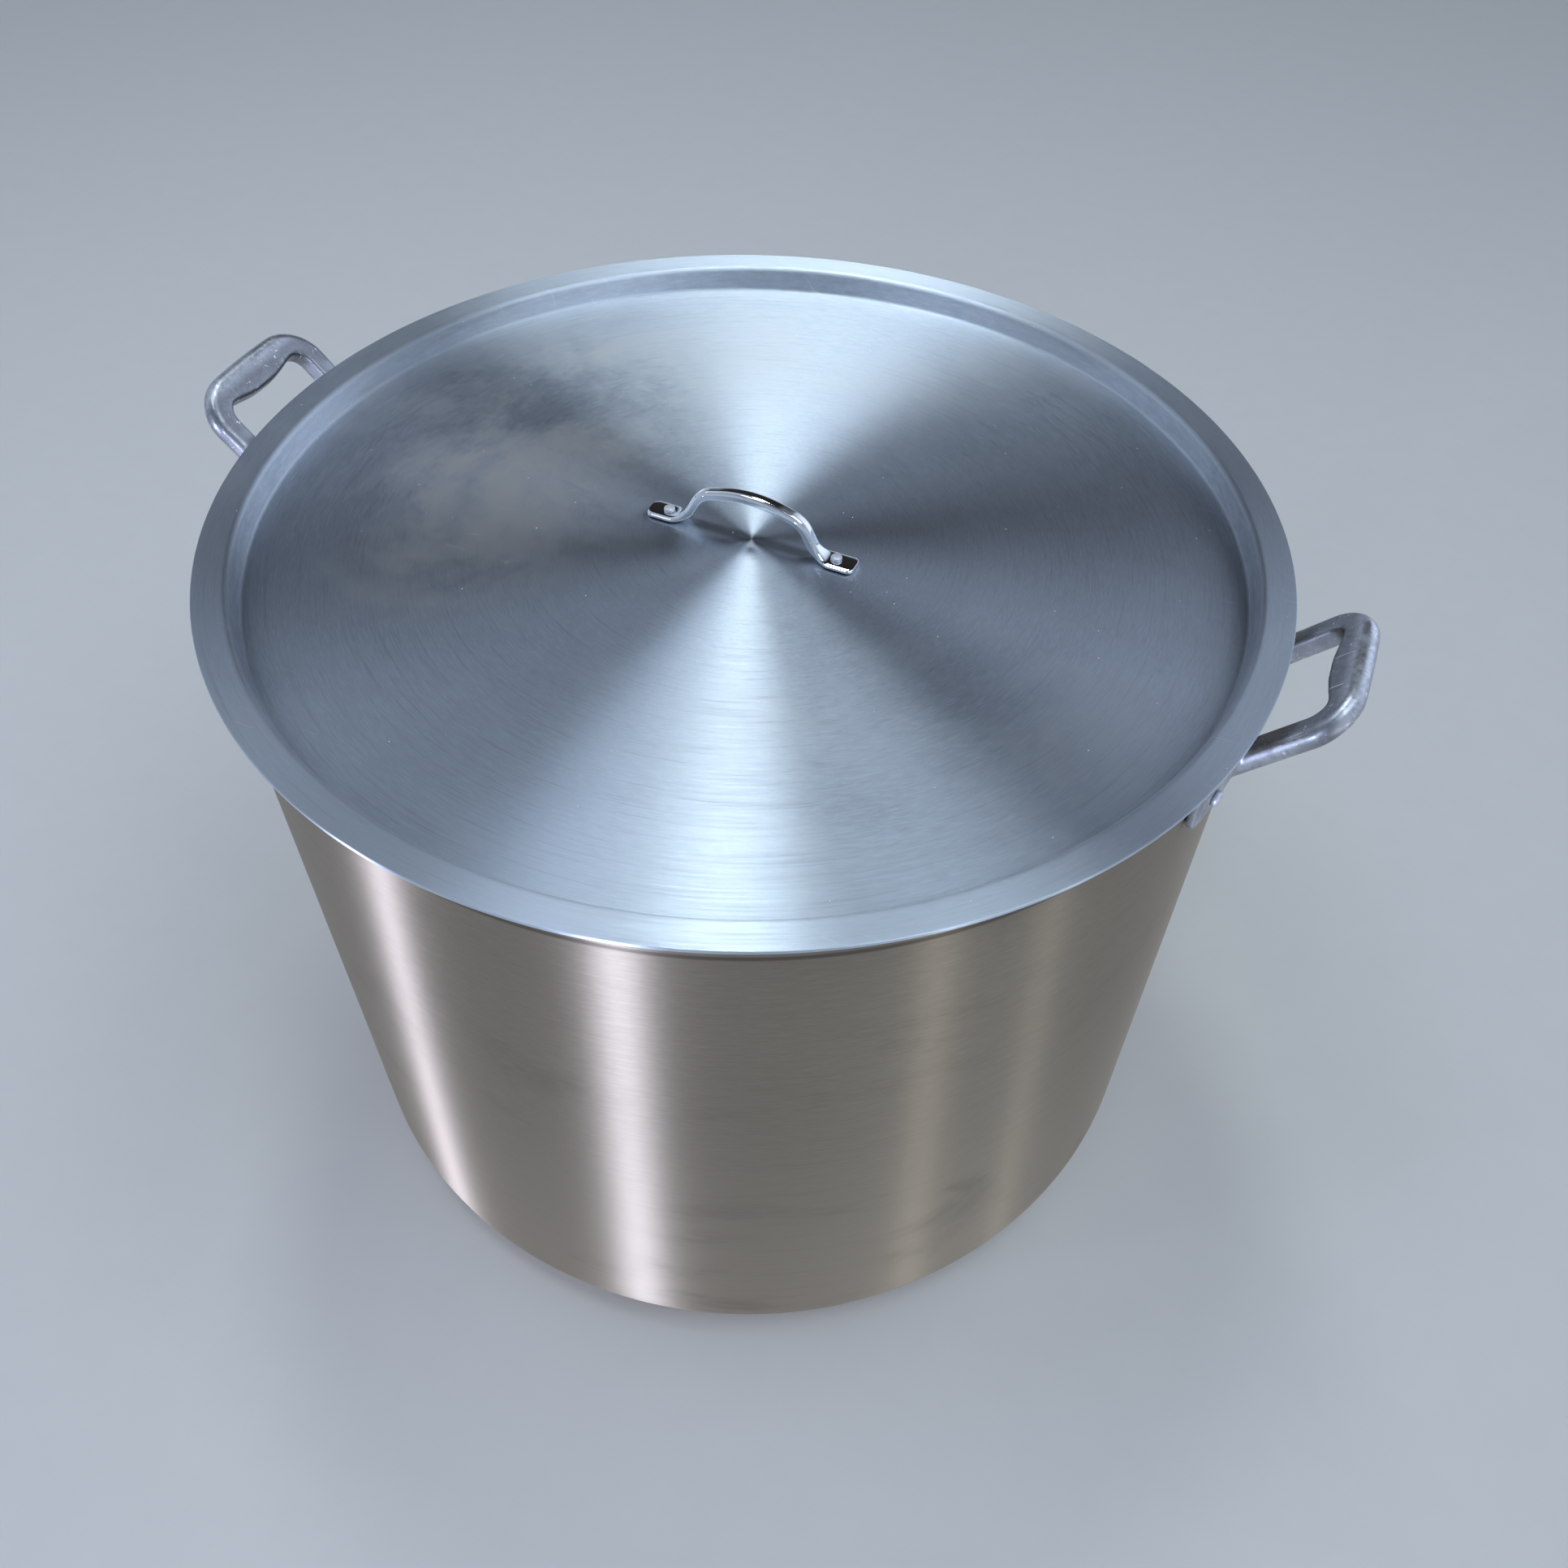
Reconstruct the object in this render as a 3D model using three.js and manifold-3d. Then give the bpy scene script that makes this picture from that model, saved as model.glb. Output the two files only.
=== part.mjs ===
// Large aluminium stock pot. A spun pot carries two cast loop handles, each riveted to the wall by four
// rivets, and a sheet lid whose recessed panel drops into the mouth carries a chrome pull on two rivets.
// Millimetres, +Z up, origin at the centre of the base, side handles along X.

import * as THREE from "three";
import { mergeVertices } from "three/addons/utils/BufferGeometryUtils.js";
import Module from "manifold-3d";

const wasm = await Module();
wasm.setup();

// Pot
const POT_RADIUS = 254; // outside of the wall
const RIM_HEIGHT = 398;
const WALL = 3.2;
const BASE = 5;
const BASE_CORNER = 36; // outside radius where the wall turns into the base
const RIM_ROUND = 1;

// Lid
const LID_OVERHANG = 10.3; // flange past the outside of the pot wall
const LID_SHEET = 1.8;
const RECESS_DEPTH = 12.2; // flange top down to panel top
const SHOULDER_BEND = 3; // top-side radius from flange to step
const PANEL_BEND = 2; // top-side radius from step to panel
const STEP_SLOPE = THREE.MathUtils.degToRad(78);
const SHOULDER_INSET = 0.4; // start of the shoulder inside the mouth
const SEAT_GAP = 0.3; // flange to rim
const LID_TURN = THREE.MathUtils.degToRad(-1.5); // pull against the side handles' line

// Pull on the lid
const PULL_RIVET_SPAN = 91.4;
const PULL_END_MARGIN = 10.5; // foot end past its rivet
const PULL_BEND_INSET = 10.2; // bend at the foot, inside its rivet
const PULL_LEG_LEAN = 8.3; // upper bend inside the one at the foot, before rounding
const PULL_SHOULDER_RISE = 15.7; // bend corners and crest above the bar's middle at the feet
const PULL_CREST_RISE = 23.5;
const PULL_BAR_WIDTH = 7.2;
const PULL_BAR_THICKNESS = 5;
const PULL_FOOT_WIDTH = 13.2;
const PULL_FOOT_THICKNESS = 2.4;
const PULL_BEND = 6; // length of bar taken up by each tight bend, from its corner
const PULL_CREST_BEND = 17.5; // the same for the crest

// Side handles: distances along the wall are measured round it from the handle's middle
const LEG_OFFSET = 37.5; // leg centre, at the wall and at the grip
const LEG_DROP = 32.3; // leg centre at the wall, below the rim
const GRIP_RISE = 9.8; // bar centre at the grip, above the rim
const GRIP_STANDOFF = 27.5; // bar centre at the grip, outside the lid's edge
const BAR_WIDTH = 12.6; // in the plane of the loop
const BAR_THICKNESS = 11.4;
const BAR_CHAMFER = 3.4;
const HANDLE_CORNER = 15; // length of bar taken up by each corner, from its centre line
const SWELL_INSET = 8.5; // end of the palm swell inside the leg centre
const SWELL_HALF_WIDTH = 9.4;
const SWELL_HALF_THICKNESS = 6.3;
const SWELL_SHIFT = 1.6; // palm swell towards the pot
const INNER_RIVET_INSET = 23.5; // rivets either side of the leg centre
const OUTER_RIVET_OUTSET = 28.5;
const FOOT_INNER_MARGIN = 9; // foot ends past their rivets
const FOOT_OUTER_MARGIN = 15;
const FOOT_HEIGHT = 19;
const FOOT_THICKNESS = 4.8;
const FOOT_DROP = 25.8; // foot centre below the rim

// Rivets
const SIDE_RIVET = { shank: 2.4, head: 3.9, headHeight: 2.9, tail: 4, tailHeight: 1.8 };
const LID_RIVET = { shank: 1.6, head: 2.8, headHeight: 1.7, tail: 2.7, tailHeight: 1.4 };

// Clearances between pieces that touch
const CONTACT_GAP = 0.3;
const SHANK_GAP = 0.3;

// Rounding of the faceted solids
const ROUND_SIDES = 72;
const RIVET_SIDES = 16;
const CORNER_STEPS = 5;

const MOUTH_RADIUS = POT_RADIUS - WALL;
const LID_RADIUS = POT_RADIUS + LID_OVERHANG;
const FLANGE_TOP = RIM_HEIGHT + SEAT_GAP + LID_SHEET;
const PANEL_TOP = FLANGE_TOP - RECESS_DEPTH;
const FOOT_RADIUS = POT_RADIUS + CONTACT_GAP;
const FOOT_LEVEL = RIM_HEIGHT - FOOT_DROP;
const INNER_RIVET = LEG_OFFSET - INNER_RIVET_INSET;
const OUTER_RIVET = LEG_OFFSET + OUTER_RIVET_OUTSET;
const RIVET_OFFSETS = [-OUTER_RIVET, -INNER_RIVET, INNER_RIVET, OUTER_RIVET];
const PULL_LENGTH = PULL_RIVET_SPAN + 2 * PULL_END_MARGIN;
const PULL_FOOT_SPAN = PULL_RIVET_SPAN - 2 * PULL_BEND_INSET;
const PULL_SHOULDER_SPAN = PULL_FOOT_SPAN - 2 * PULL_LEG_LEAN;
const SIDES = { right: 0, left: Math.PI };

const SPUN = { color: 0x9fa4ab, roughness: 0.35, metalness: 1 };
const SPUN_WALL = { color: 0x9a938a, roughness: 0.38, metalness: 1 };
const CAST = { color: 0xa4a8b4, roughness: 0.42, metalness: 1 };
const CHROME = { color: 0xd5dbe2, roughness: 0.08, metalness: 1 };
const RIVET_METAL = { color: 0xb3b7bf, roughness: 0.4, metalness: 1 };

// A closed geometry as a solid that can be joined and cut.
function solid(geometry) {
  const bare = geometry.index ? geometry.toNonIndexed() : geometry.clone();
  bare.deleteAttribute("normal");
  bare.deleteAttribute("uv");
  const merged = mergeVertices(bare, 1e-4);
  return new wasm.Manifold(
    new wasm.Mesh({
      numProp: 3,
      vertProperties: merged.attributes.position.array,
      triVerts: new Uint32Array(merged.index.array),
    }),
  );
}

// The solid back as a geometry to show.
function shown(body) {
  const { vertProperties, triVerts } = body.getMesh();
  const geometry = new THREE.BufferGeometry();
  geometry.setAttribute("position", new THREE.BufferAttribute(new Float32Array(vertProperties), 3));
  geometry.setIndex(new THREE.BufferAttribute(new Uint32Array(triVerts), 1));
  geometry.computeVertexNormals();
  return geometry;
}

// A profile of [radius, height] points turned about the Z axis. It runs anticlockwise, from the axis back
// to the axis.
function turned(profile, sides) {
  const points = profile.map(([radius, height]) => new THREE.Vector2(radius, height));
  return new THREE.LatheGeometry(points, sides).rotateX(Math.PI / 2);
}

// Points on an arc about [r, z], from one angle to the other, ends included.
function arc(r, z, radius, from, to, steps = CORNER_STEPS) {
  return Array.from({ length: steps + 1 }, (_, i) => {
    const angle = from + ((to - from) * i) / steps;
    return [r + radius * Math.cos(angle), z + radius * Math.sin(angle)];
  });
}

// A bar of one section bent through corners in the XY plane. Each inner corner is rounded over the length
// given for it. Section x lies across the plane and section y in it.
function bentBar(section, corners, bends, steps) {
  const path = new THREE.CurvePath();
  let start = corners[0];
  bends.forEach((bend, i) => {
    const corner = corners[i + 1];
    const entry = corner.clone().add(corners[i].clone().sub(corner).setLength(bend));
    const leave = corner.clone().add(corners[i + 2].clone().sub(corner).setLength(bend));
    path.add(new THREE.LineCurve3(start, entry));
    path.add(new THREE.QuadraticBezierCurve3(entry, corner, leave));
    start = leave;
  });
  path.add(new THREE.LineCurve3(start, corners.at(-1)));
  return new THREE.ExtrudeGeometry(section, { steps, extrudePath: path });
}

// A rectangle with its corners cut off.
function chamferedSection(width, height, chamfer) {
  const x = width / 2;
  const y = height / 2;
  return new THREE.Shape(
    [
      [x, y - chamfer],
      [x - chamfer, y],
      [chamfer - x, y],
      [-x, y - chamfer],
      [-x, chamfer - y],
      [chamfer - x, -y],
      [x - chamfer, -y],
      [x, chamfer - y],
    ].map(([px, py]) => new THREE.Vector2(px, py)),
  );
}

// Solid rivet along Z. The grip runs from 0 up to its length: the tail is below it and the head above.
function rivet({ shank, head, headHeight, tail, tailHeight }, grip) {
  const under = -CONTACT_GAP;
  const over = grip + CONTACT_GAP;
  const crown = headHeight * 0.45; // rounded part of the head
  return turned(
    [
      [0, under - tailHeight],
      [tail * 0.7, under - tailHeight],
      [tail, under - tailHeight * 0.4],
      [tail, under],
      [shank, under],
      [shank, over],
      [head, over],
      [head, over + headHeight - crown],
      [head * 0.85, over + headHeight - crown * 0.35],
      [head * 0.5, over + headHeight],
      [0, over + headHeight],
    ],
    RIVET_SIDES,
  );
}

// Round cutter for a rivet hole, along Z through the origin.
function holeCutter(shank, length) {
  return new THREE.CylinderGeometry(shank + SHANK_GAP, shank + SHANK_GAP, length, RIVET_SIDES).rotateX(
    Math.PI / 2,
  );
}

// Turns a piece made along Z at the origin so that it points out of the wall at an angle round the pot.
function atWall(geometry, radius, angle) {
  return geometry
    .rotateY(Math.PI / 2)
    .translate(radius, 0, FOOT_LEVEL)
    .rotateZ(angle);
}

function wallHoles() {
  const length = 4 * (WALL + FOOT_THICKNESS);
  return RIVET_OFFSETS.map((offset) =>
    solid(atWall(holeCutter(SIDE_RIVET.shank, length), POT_RADIUS, offset / POT_RADIUS)),
  ).reduce((all, hole) => all.add(hole));
}

function potBody() {
  const inner = BASE_CORNER - WALL;
  const innerCorner = BASE + inner;
  const rim = RIM_HEIGHT - RIM_ROUND;
  const profile = [
    [0, 0],
    ...arc(POT_RADIUS - BASE_CORNER, BASE_CORNER, BASE_CORNER, -Math.PI / 2, 0),
    ...arc(POT_RADIUS - RIM_ROUND, rim, RIM_ROUND, 0, Math.PI / 2, 2),
    ...arc(MOUTH_RADIUS + RIM_ROUND, rim, RIM_ROUND, Math.PI / 2, Math.PI, 2),
    ...arc(MOUTH_RADIUS - inner, innerCorner, inner, 0, -Math.PI / 2),
    [0, BASE],
  ];
  const holes = wallHoles();
  return shown(
    solid(turned(profile, ROUND_SIDES)).subtract(holes).subtract(holes.rotate([0, 0, 180])),
  );
}

function lidPan() {
  const lean = Math.sin(STEP_SLOPE);
  const drop = 1 - Math.cos(STEP_SLOPE);
  const shoulder = MOUTH_RADIUS - SHOULDER_INSET;
  const stepDrop = RECESS_DEPTH - (SHOULDER_BEND + PANEL_BEND) * drop;
  const run = (SHOULDER_BEND + PANEL_BEND) * lean + stepDrop / Math.tan(STEP_SLOPE);
  const bendTop = FLANGE_TOP - SHOULDER_BEND;
  const bendFoot = PANEL_TOP + PANEL_BEND;
  const up = Math.PI / 2;
  const profile = [
    [0, PANEL_TOP - LID_SHEET],
    ...arc(shoulder - run, bendFoot, PANEL_BEND + LID_SHEET, -up, STEP_SLOPE - up, 4),
    ...arc(shoulder, bendTop, SHOULDER_BEND - LID_SHEET, up + STEP_SLOPE, up, 3),
    [LID_RADIUS, FLANGE_TOP - LID_SHEET],
    [LID_RADIUS, FLANGE_TOP],
    ...arc(shoulder, bendTop, SHOULDER_BEND, up, up + STEP_SLOPE, 4),
    ...arc(shoulder - run, bendFoot, PANEL_BEND, STEP_SLOPE - up, -up, 3),
    [0, PANEL_TOP],
  ];
  const cutters = [-1, 1].map((side) =>
    solid(
      holeCutter(LID_RIVET.shank, 4 * LID_SHEET).translate((side * PULL_RIVET_SPAN) / 2, 0, PANEL_TOP),
    ),
  );
  return shown(solid(turned(profile, ROUND_SIDES)).subtract(cutters[0]).subtract(cutters[1]));
}

// Chrome pull, made with its underside at height 0 and its length along X: a bent bar between two feet.
function lidPull() {
  const level = PULL_BAR_THICKNESS / 2;
  const pair = (span, height) => [1, -1].map((side) => new THREE.Vector3((side * span) / 2, height, 0));
  const [endRight, endLeft] = pair(PULL_FOOT_SPAN + 2 * PULL_BEND + 1, level);
  const [bendRight, bendLeft] = pair(PULL_FOOT_SPAN, level);
  const [shoulderRight, shoulderLeft] = pair(PULL_SHOULDER_SPAN, level + PULL_SHOULDER_RISE);
  const crest = new THREE.Vector3(0, level + PULL_CREST_RISE, 0);
  const bar = bentBar(
    chamferedSection(PULL_BAR_WIDTH, PULL_BAR_THICKNESS, PULL_BAR_THICKNESS * 0.3),
    [endRight, bendRight, shoulderRight, crest, shoulderLeft, bendLeft, endLeft],
    [PULL_BEND, PULL_BEND, PULL_CREST_BEND, PULL_BEND, PULL_BEND],
    48,
  ).rotateX(Math.PI / 2);

  const outer = PULL_LENGTH / 2;
  const neck = PULL_FOOT_SPAN / 2;
  const broad = neck + 9;
  const wide = PULL_FOOT_WIDTH / 2;
  const narrow = PULL_BAR_WIDTH / 2;
  const outline = new THREE.Shape();
  outline.moveTo(neck, -narrow);
  outline.bezierCurveTo(neck + 4, -narrow, neck + 4, -wide, broad, -wide);
  outline.lineTo(outer - 3.5, -wide);
  outline.quadraticCurveTo(outer, -wide, outer, -wide * 0.55);
  outline.lineTo(outer, wide * 0.55);
  outline.quadraticCurveTo(outer, wide, outer - 3.5, wide);
  outline.lineTo(broad, wide);
  outline.bezierCurveTo(neck + 4, wide, neck + 4, narrow, neck, narrow);
  const foot = new THREE.ExtrudeGeometry(outline, {
    depth: PULL_FOOT_THICKNESS,
    bevelEnabled: false,
    curveSegments: 4,
  });
  const hole = holeCutter(LID_RIVET.shank, 4 * PULL_FOOT_THICKNESS).translate(PULL_RIVET_SPAN / 2, 0, 0);
  const end = solid(foot).subtract(solid(hole));
  return shown(solid(bar).add(end).add(end.rotate([0, 0, 180])));
}

// One cast handle at +X: two legs rise from their feet on the wall to a grip level with the lid's edge.
function sideHandle() {
  const legAngle = LEG_OFFSET / POT_RADIUS;
  const root = new THREE.Vector2(POT_RADIUS * Math.cos(legAngle), RIM_HEIGHT - LEG_DROP);
  const grip = new THREE.Vector2(LID_RADIUS + GRIP_STANDOFF, RIM_HEIGHT + GRIP_RISE);
  const leg = grip.clone().sub(root);
  const bar = bentBar(
    chamferedSection(BAR_THICKNESS, BAR_WIDTH, BAR_CHAMFER),
    [
      new THREE.Vector3(0, -LEG_OFFSET, 0),
      new THREE.Vector3(leg.length(), -LEG_OFFSET, 0),
      new THREE.Vector3(leg.length(), LEG_OFFSET, 0),
      new THREE.Vector3(0, LEG_OFFSET, 0),
    ],
    [HANDLE_CORNER, HANDLE_CORNER],
    44,
  );
  const swell = new THREE.SphereGeometry(1, 20, 12)
    .scale(SWELL_HALF_WIDTH, LEG_OFFSET - SWELL_INSET, SWELL_HALF_THICKNESS)
    .translate(leg.length() - SWELL_SHIFT, 0, 0);
  const tilt = (geometry) => geometry.rotateY(-leg.angle()).translate(root.x, 0, root.y);

  const footOuter = FOOT_RADIUS + FOOT_THICKNESS;
  const from = (INNER_RIVET - FOOT_INNER_MARGIN) / POT_RADIUS;
  const to = (OUTER_RIVET + FOOT_OUTER_MARGIN) / POT_RADIUS;
  const outline = new THREE.Shape();
  outline.absarc(0, 0, FOOT_RADIUS, from, to, false);
  outline.absarc(0, 0, footOuter, to, from, true);
  const foot = new THREE.ExtrudeGeometry(outline, {
    depth: FOOT_HEIGHT,
    bevelEnabled: false,
    curveSegments: 8,
  }).translate(0, 0, FOOT_LEVEL - FOOT_HEIGHT / 2);

  const potSpace = solid(
    new THREE.CylinderGeometry(FOOT_RADIUS, FOOT_RADIUS, 2 * RIM_HEIGHT, 4 * ROUND_SIDES).rotateX(
      Math.PI / 2,
    ),
  );
  return shown(
    solid(tilt(bar))
      .add(solid(tilt(swell)))
      .subtract(potSpace)
      .add(solid(foot))
      .add(solid(foot.clone().rotateZ(-from - to)))
      .subtract(wallHoles()),
  );
}

function piece(name, geometry, material) {
  const mesh = new THREE.Mesh(geometry, new THREE.MeshStandardMaterial(material));
  mesh.name = name;
  return mesh;
}

const stockPot = new THREE.Group();
stockPot.add(piece("pot_body", potBody(), SPUN_WALL));

for (const [side, turn] of Object.entries(SIDES)) {
  const group = new THREE.Group();
  group.rotation.z = turn;
  group.add(piece(`${side}_handle`, sideHandle(), CAST));
  RIVET_OFFSETS.forEach((offset, i) => {
    const shape = rivet(SIDE_RIVET, WALL + CONTACT_GAP + FOOT_THICKNESS);
    const geometry = atWall(shape, MOUTH_RADIUS, offset / POT_RADIUS);
    group.add(piece(`${side}_handle_rivet_${i + 1}`, geometry, RIVET_METAL));
  });
  stockPot.add(group);
}

const lid = new THREE.Group();
lid.rotation.z = LID_TURN;
lid.add(piece("lid_pan", lidPan(), SPUN));
const pull = piece("lid_pull", lidPull(), CHROME);
pull.position.z = PANEL_TOP + CONTACT_GAP;
lid.add(pull);
for (const [side, sign] of [["right", 1], ["left", -1]]) {
  const shape = rivet(LID_RIVET, LID_SHEET + CONTACT_GAP + PULL_FOOT_THICKNESS);
  const mesh = piece(`lid_pull_rivet_${side}`, shape, RIVET_METAL);
  mesh.position.set((sign * PULL_RIVET_SPAN) / 2, 0, PANEL_TOP - LID_SHEET);
  lid.add(mesh);
}
stockPot.add(lid);

export default stockPot;
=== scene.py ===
"""Finish of a large aluminium stock pot: spun pot and lid, cast loop handles, rivets and a chrome pull."""

import math

import bmesh
import bpy
from bpy.props import FloatProperty, FloatVectorProperty, IntProperty, PointerProperty
from mathutils import Matrix, Vector


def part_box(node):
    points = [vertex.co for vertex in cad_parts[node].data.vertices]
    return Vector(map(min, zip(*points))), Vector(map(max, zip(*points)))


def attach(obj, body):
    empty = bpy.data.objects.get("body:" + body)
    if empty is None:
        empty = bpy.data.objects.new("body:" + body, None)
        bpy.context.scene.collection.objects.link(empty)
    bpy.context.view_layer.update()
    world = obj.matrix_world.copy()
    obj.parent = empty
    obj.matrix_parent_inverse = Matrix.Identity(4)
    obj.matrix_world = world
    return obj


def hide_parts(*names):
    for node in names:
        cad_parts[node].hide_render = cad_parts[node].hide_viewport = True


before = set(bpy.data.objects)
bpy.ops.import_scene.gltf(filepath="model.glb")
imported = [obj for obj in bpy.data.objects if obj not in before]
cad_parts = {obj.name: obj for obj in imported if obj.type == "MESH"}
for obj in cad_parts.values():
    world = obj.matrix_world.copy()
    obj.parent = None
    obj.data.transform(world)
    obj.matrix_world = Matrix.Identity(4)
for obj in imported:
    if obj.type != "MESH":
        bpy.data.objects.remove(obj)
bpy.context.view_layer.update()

bl_info = {
    "name": "Stock pot",
    "version": (1, 0, 0),
    "blender": (4, 5, 0),
    "location": "3D View > Sidebar > Stock pot",
    "description": "Builds the finished pieces of a stock pot round its packed frame",
    "category": "Object",
}

MM = 0.001
UP = Vector((0, 0, 1))
_, POT_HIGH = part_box("pot_body")
_, LID_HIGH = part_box("lid_pan")
SENSOR_WIDTH = 36  # of the camera, in millimetres
SHADOW_LINE_HEIGHT = 0.3815  # of the painted shadow line round the wall, under the lid
SMUDGE_REACH = 0.135  # from the lid's middle to the middle of its handling smudges
WIPE_REACH = 0.11  # the same, for the wiping marks in the smudges
FLANGE_REACH = 0.247  # from the lid's middle to the start of its flange
GRIP_MIDDLE = 0.289  # from the pot's axis to the ridge between the two halves of a grip


# Properties


def length(name, description, default):
    """A length in millimetres, kept as a distance in metres."""
    return FloatProperty(
        name=name, description=description, default=default * MM, min=0, precision=5, unit="LENGTH"
    )


def share(name, description, default):
    """A number from 0 to 1."""
    return FloatProperty(name=name, description=description, default=default, min=0, max=1, subtype="FACTOR")


def angle(name, description, degrees):
    """An angle in degrees, kept in radians."""
    return FloatProperty(
        name=name, description=description, default=math.radians(degrees), unit="ROTATION", subtype="ANGLE"
    )


def colour(name, description, default):
    """A colour with no alpha."""
    return FloatVectorProperty(
        name=name, description=description, default=default, size=3, min=0, max=1, subtype="COLOR"
    )


class PotSizes(bpy.types.PropertyGroup):
    """Sizes of the spun pot."""

    wall: length("Wall", "Thickness of the wall", 3.2)
    base: length("Base", "Thickness of the flat base", 5)
    base_corner: length("Base corner", "Outside radius where the wall turns into the base", 36)
    rim_round: length("Rim rounding", "Radius of the two edges of the rim", 1)
    steps: IntProperty(name="Steps", description="Facets round the pot and the lid", default=288, min=48)


class LidSizes(bpy.types.PropertyGroup):
    """Sizes of the sheet lid."""

    sheet: length("Sheet", "Thickness of the sheet", 1.8)
    recess: length("Recess", "Depth of the panel below the flange", 12.2)
    shoulder_bend: length("Shoulder bend", "Top radius from the flange to the step", 3)
    panel_bend: length("Panel bend", "Top radius from the step to the panel", 2)
    slope: angle("Step slope", "Slope of the step between the flange and the panel", 78)
    shoulder_inset: length("Shoulder inset", "Start of the shoulder inside the mouth", 0.4)
    edge_round: length("Edge rounding", "Radius of the two edges of the flange", 0.5)
    turn: angle("Turn", "Turn of the lid from the line of the side handles", -1.5)


class PullSizes(bpy.types.PropertyGroup):
    """Sizes of the chrome pull."""

    rivet_span: length("Rivet span", "Distance between the two rivets", 91.4)
    end_margin: length("End margin", "Foot end past its rivet", 10.5)
    bend_inset: length("Bend inset", "Bend at the foot, inside its rivet", 10.2)
    leg_lean: length("Leg lean", "Upper bend inside the one at the foot", 8.3)
    shoulder_rise: length("Shoulder rise", "Upper bend above the bar at the feet", 15.7)
    crest_rise: length("Crest rise", "Crest above the bar at the feet, before rounding", 23.5)
    bar_width: length("Bar width", "Width of the bar", 7.2)
    bar_thickness: length("Bar thickness", "Thickness of the bar", 5)
    foot_width: length("Foot width", "Width of the flattened feet", 13.2)
    foot_thickness: length("Foot thickness", "Thickness of the flattened feet", 2.4)
    bend: length("Bend", "Length of bar taken up by each tight bend, from its corner", 6)
    crest_bend: length("Crest bend", "Length of bar taken up by the crest, from its corner", 17.5)


class HandleSizes(bpy.types.PropertyGroup):
    """Sizes of the cast side handles."""

    leg_offset: length("Leg offset", "Leg centre from the middle of the handle", 37.5)
    leg_drop: length("Leg drop", "Leg centre at the wall, below the rim", 32.3)
    grip_rise: length("Grip rise", "Bar centre at the grip, above the rim", 9.4)
    grip_standoff: length("Grip stand-off", "Bar centre at the grip, outside the lid's edge", 27.1)
    bar_width: length("Bar width", "Bar in the plane of the loop", 12.6)
    bar_thickness: length("Bar thickness", "Bar across the plane of the loop", 11.4)
    corner: length("Corner", "Radius of the bar's middle at the two corners", 15)
    swell: length("Palm swell", "Swell of the grip towards the pot", 3.9)
    swell_half_length: length("Swell half length", "Half the length of the palm swell", 33)
    bow: length("Bow", "How far the grip is bowed outwards", 1.6)
    foot_height: length("Foot height", "Height of the feet", 19)
    foot_thickness: length("Foot thickness", "Thickness of the feet", 4.8)
    foot_drop: length("Foot drop", "Foot centre below the rim", 25.8)
    inner_margin: length("Inner margin", "Foot end past the inner rivet", 9)
    outer_margin: length("Outer margin", "Foot end past the outer rivet", 15)
    inner_rivet: length("Inner rivet", "Inner rivet from the middle of the handle", 14)
    outer_rivet: length("Outer rivet", "Outer rivet from the middle of the handle", 66)
    gap: length("Gap", "Gap between the foot and the wall", 0.3)
    grain: length("Grain", "Size of the facets of the casting's surface", 0.8)


class RivetSizes(bpy.types.PropertyGroup):
    """Sizes of the rivets: those of the side handles, then those of the pull."""

    side_shank: length("Side shank", "Shank radius", 2.4)
    side_head: length("Side head", "Head radius", 3.9)
    side_head_height: length("Side head height", "Height of the head", 2.9)
    side_tail: length("Side tail", "Tail radius", 4)
    side_tail_height: length("Side tail height", "Height of the tail", 1.8)
    lid_shank: length("Lid shank", "Shank radius", 1.6)
    lid_head: length("Lid head", "Head radius", 2.8)
    lid_head_height: length("Lid head height", "Height of the head", 1.7)
    lid_tail: length("Lid tail", "Tail radius", 2.7)
    lid_tail_height: length("Lid tail height", "Height of the tail", 1.4)


class Finishes(bpy.types.PropertyGroup):
    """Colours and gloss of the metals."""

    wall: colour("Wall", "Spun wall", (0.335, 0.285, 0.23))
    lid: colour("Lid", "Spun lid", (0.56, 0.62, 0.70))
    cast: colour("Cast handles", "Cast and tumbled handles", (0.50, 0.52, 0.58))
    smudge: colour("Smudges", "Dull smudges on the lid", (0.58, 0.58, 0.57))
    rivet: colour("Rivets", "Dull rivets", (0.80, 0.82, 0.88))
    chrome: colour("Chrome", "Polished pull", (0.80, 0.83, 0.87))
    spun_roughness: share("Spun roughness", "Roughness of the spun metal", 0.39)
    spun_direction: share("Spun direction", "How far the turning marks stretch highlights", 1.0)


class StageSizes(bpy.types.PropertyGroup):
    """The floor, the lights and the camera."""

    floor: colour("Floor", "Pale floor", (0.74, 0.73, 0.71))
    light: colour("Light", "Pale side of the room", (0.42, 0.48, 0.58))
    shade: colour("Shade", "Dark side of the room", (0.03, 0.028, 0.03))
    room: FloatProperty(name="Room", description="Strength of the room's light", default=1.0, min=0)
    floor_radius: FloatProperty(name="Floor radius", description="Half the floor", default=6, unit="LENGTH")
    azimuth: angle("Azimuth", "Turn of the camera round the pot", 20.1)
    elevation: angle("Elevation", "Downward slope of the camera", 50.78)
    roll: angle("Roll", "Turn of the camera about its own line of sight", 2.42)
    place: FloatVectorProperty(
        name="Place", description="Where the camera stands", default=(0.2289, -0.5226, 0.8187), unit="LENGTH"
    )
    lens: FloatProperty(name="Lens", description="Focal length in millimetres", default=31.93)
    shift: FloatVectorProperty(
        name="Shift", description="Shift of the camera's frame", default=(-0.0155, 0.0611), size=2
    )


# Shader maths


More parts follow.
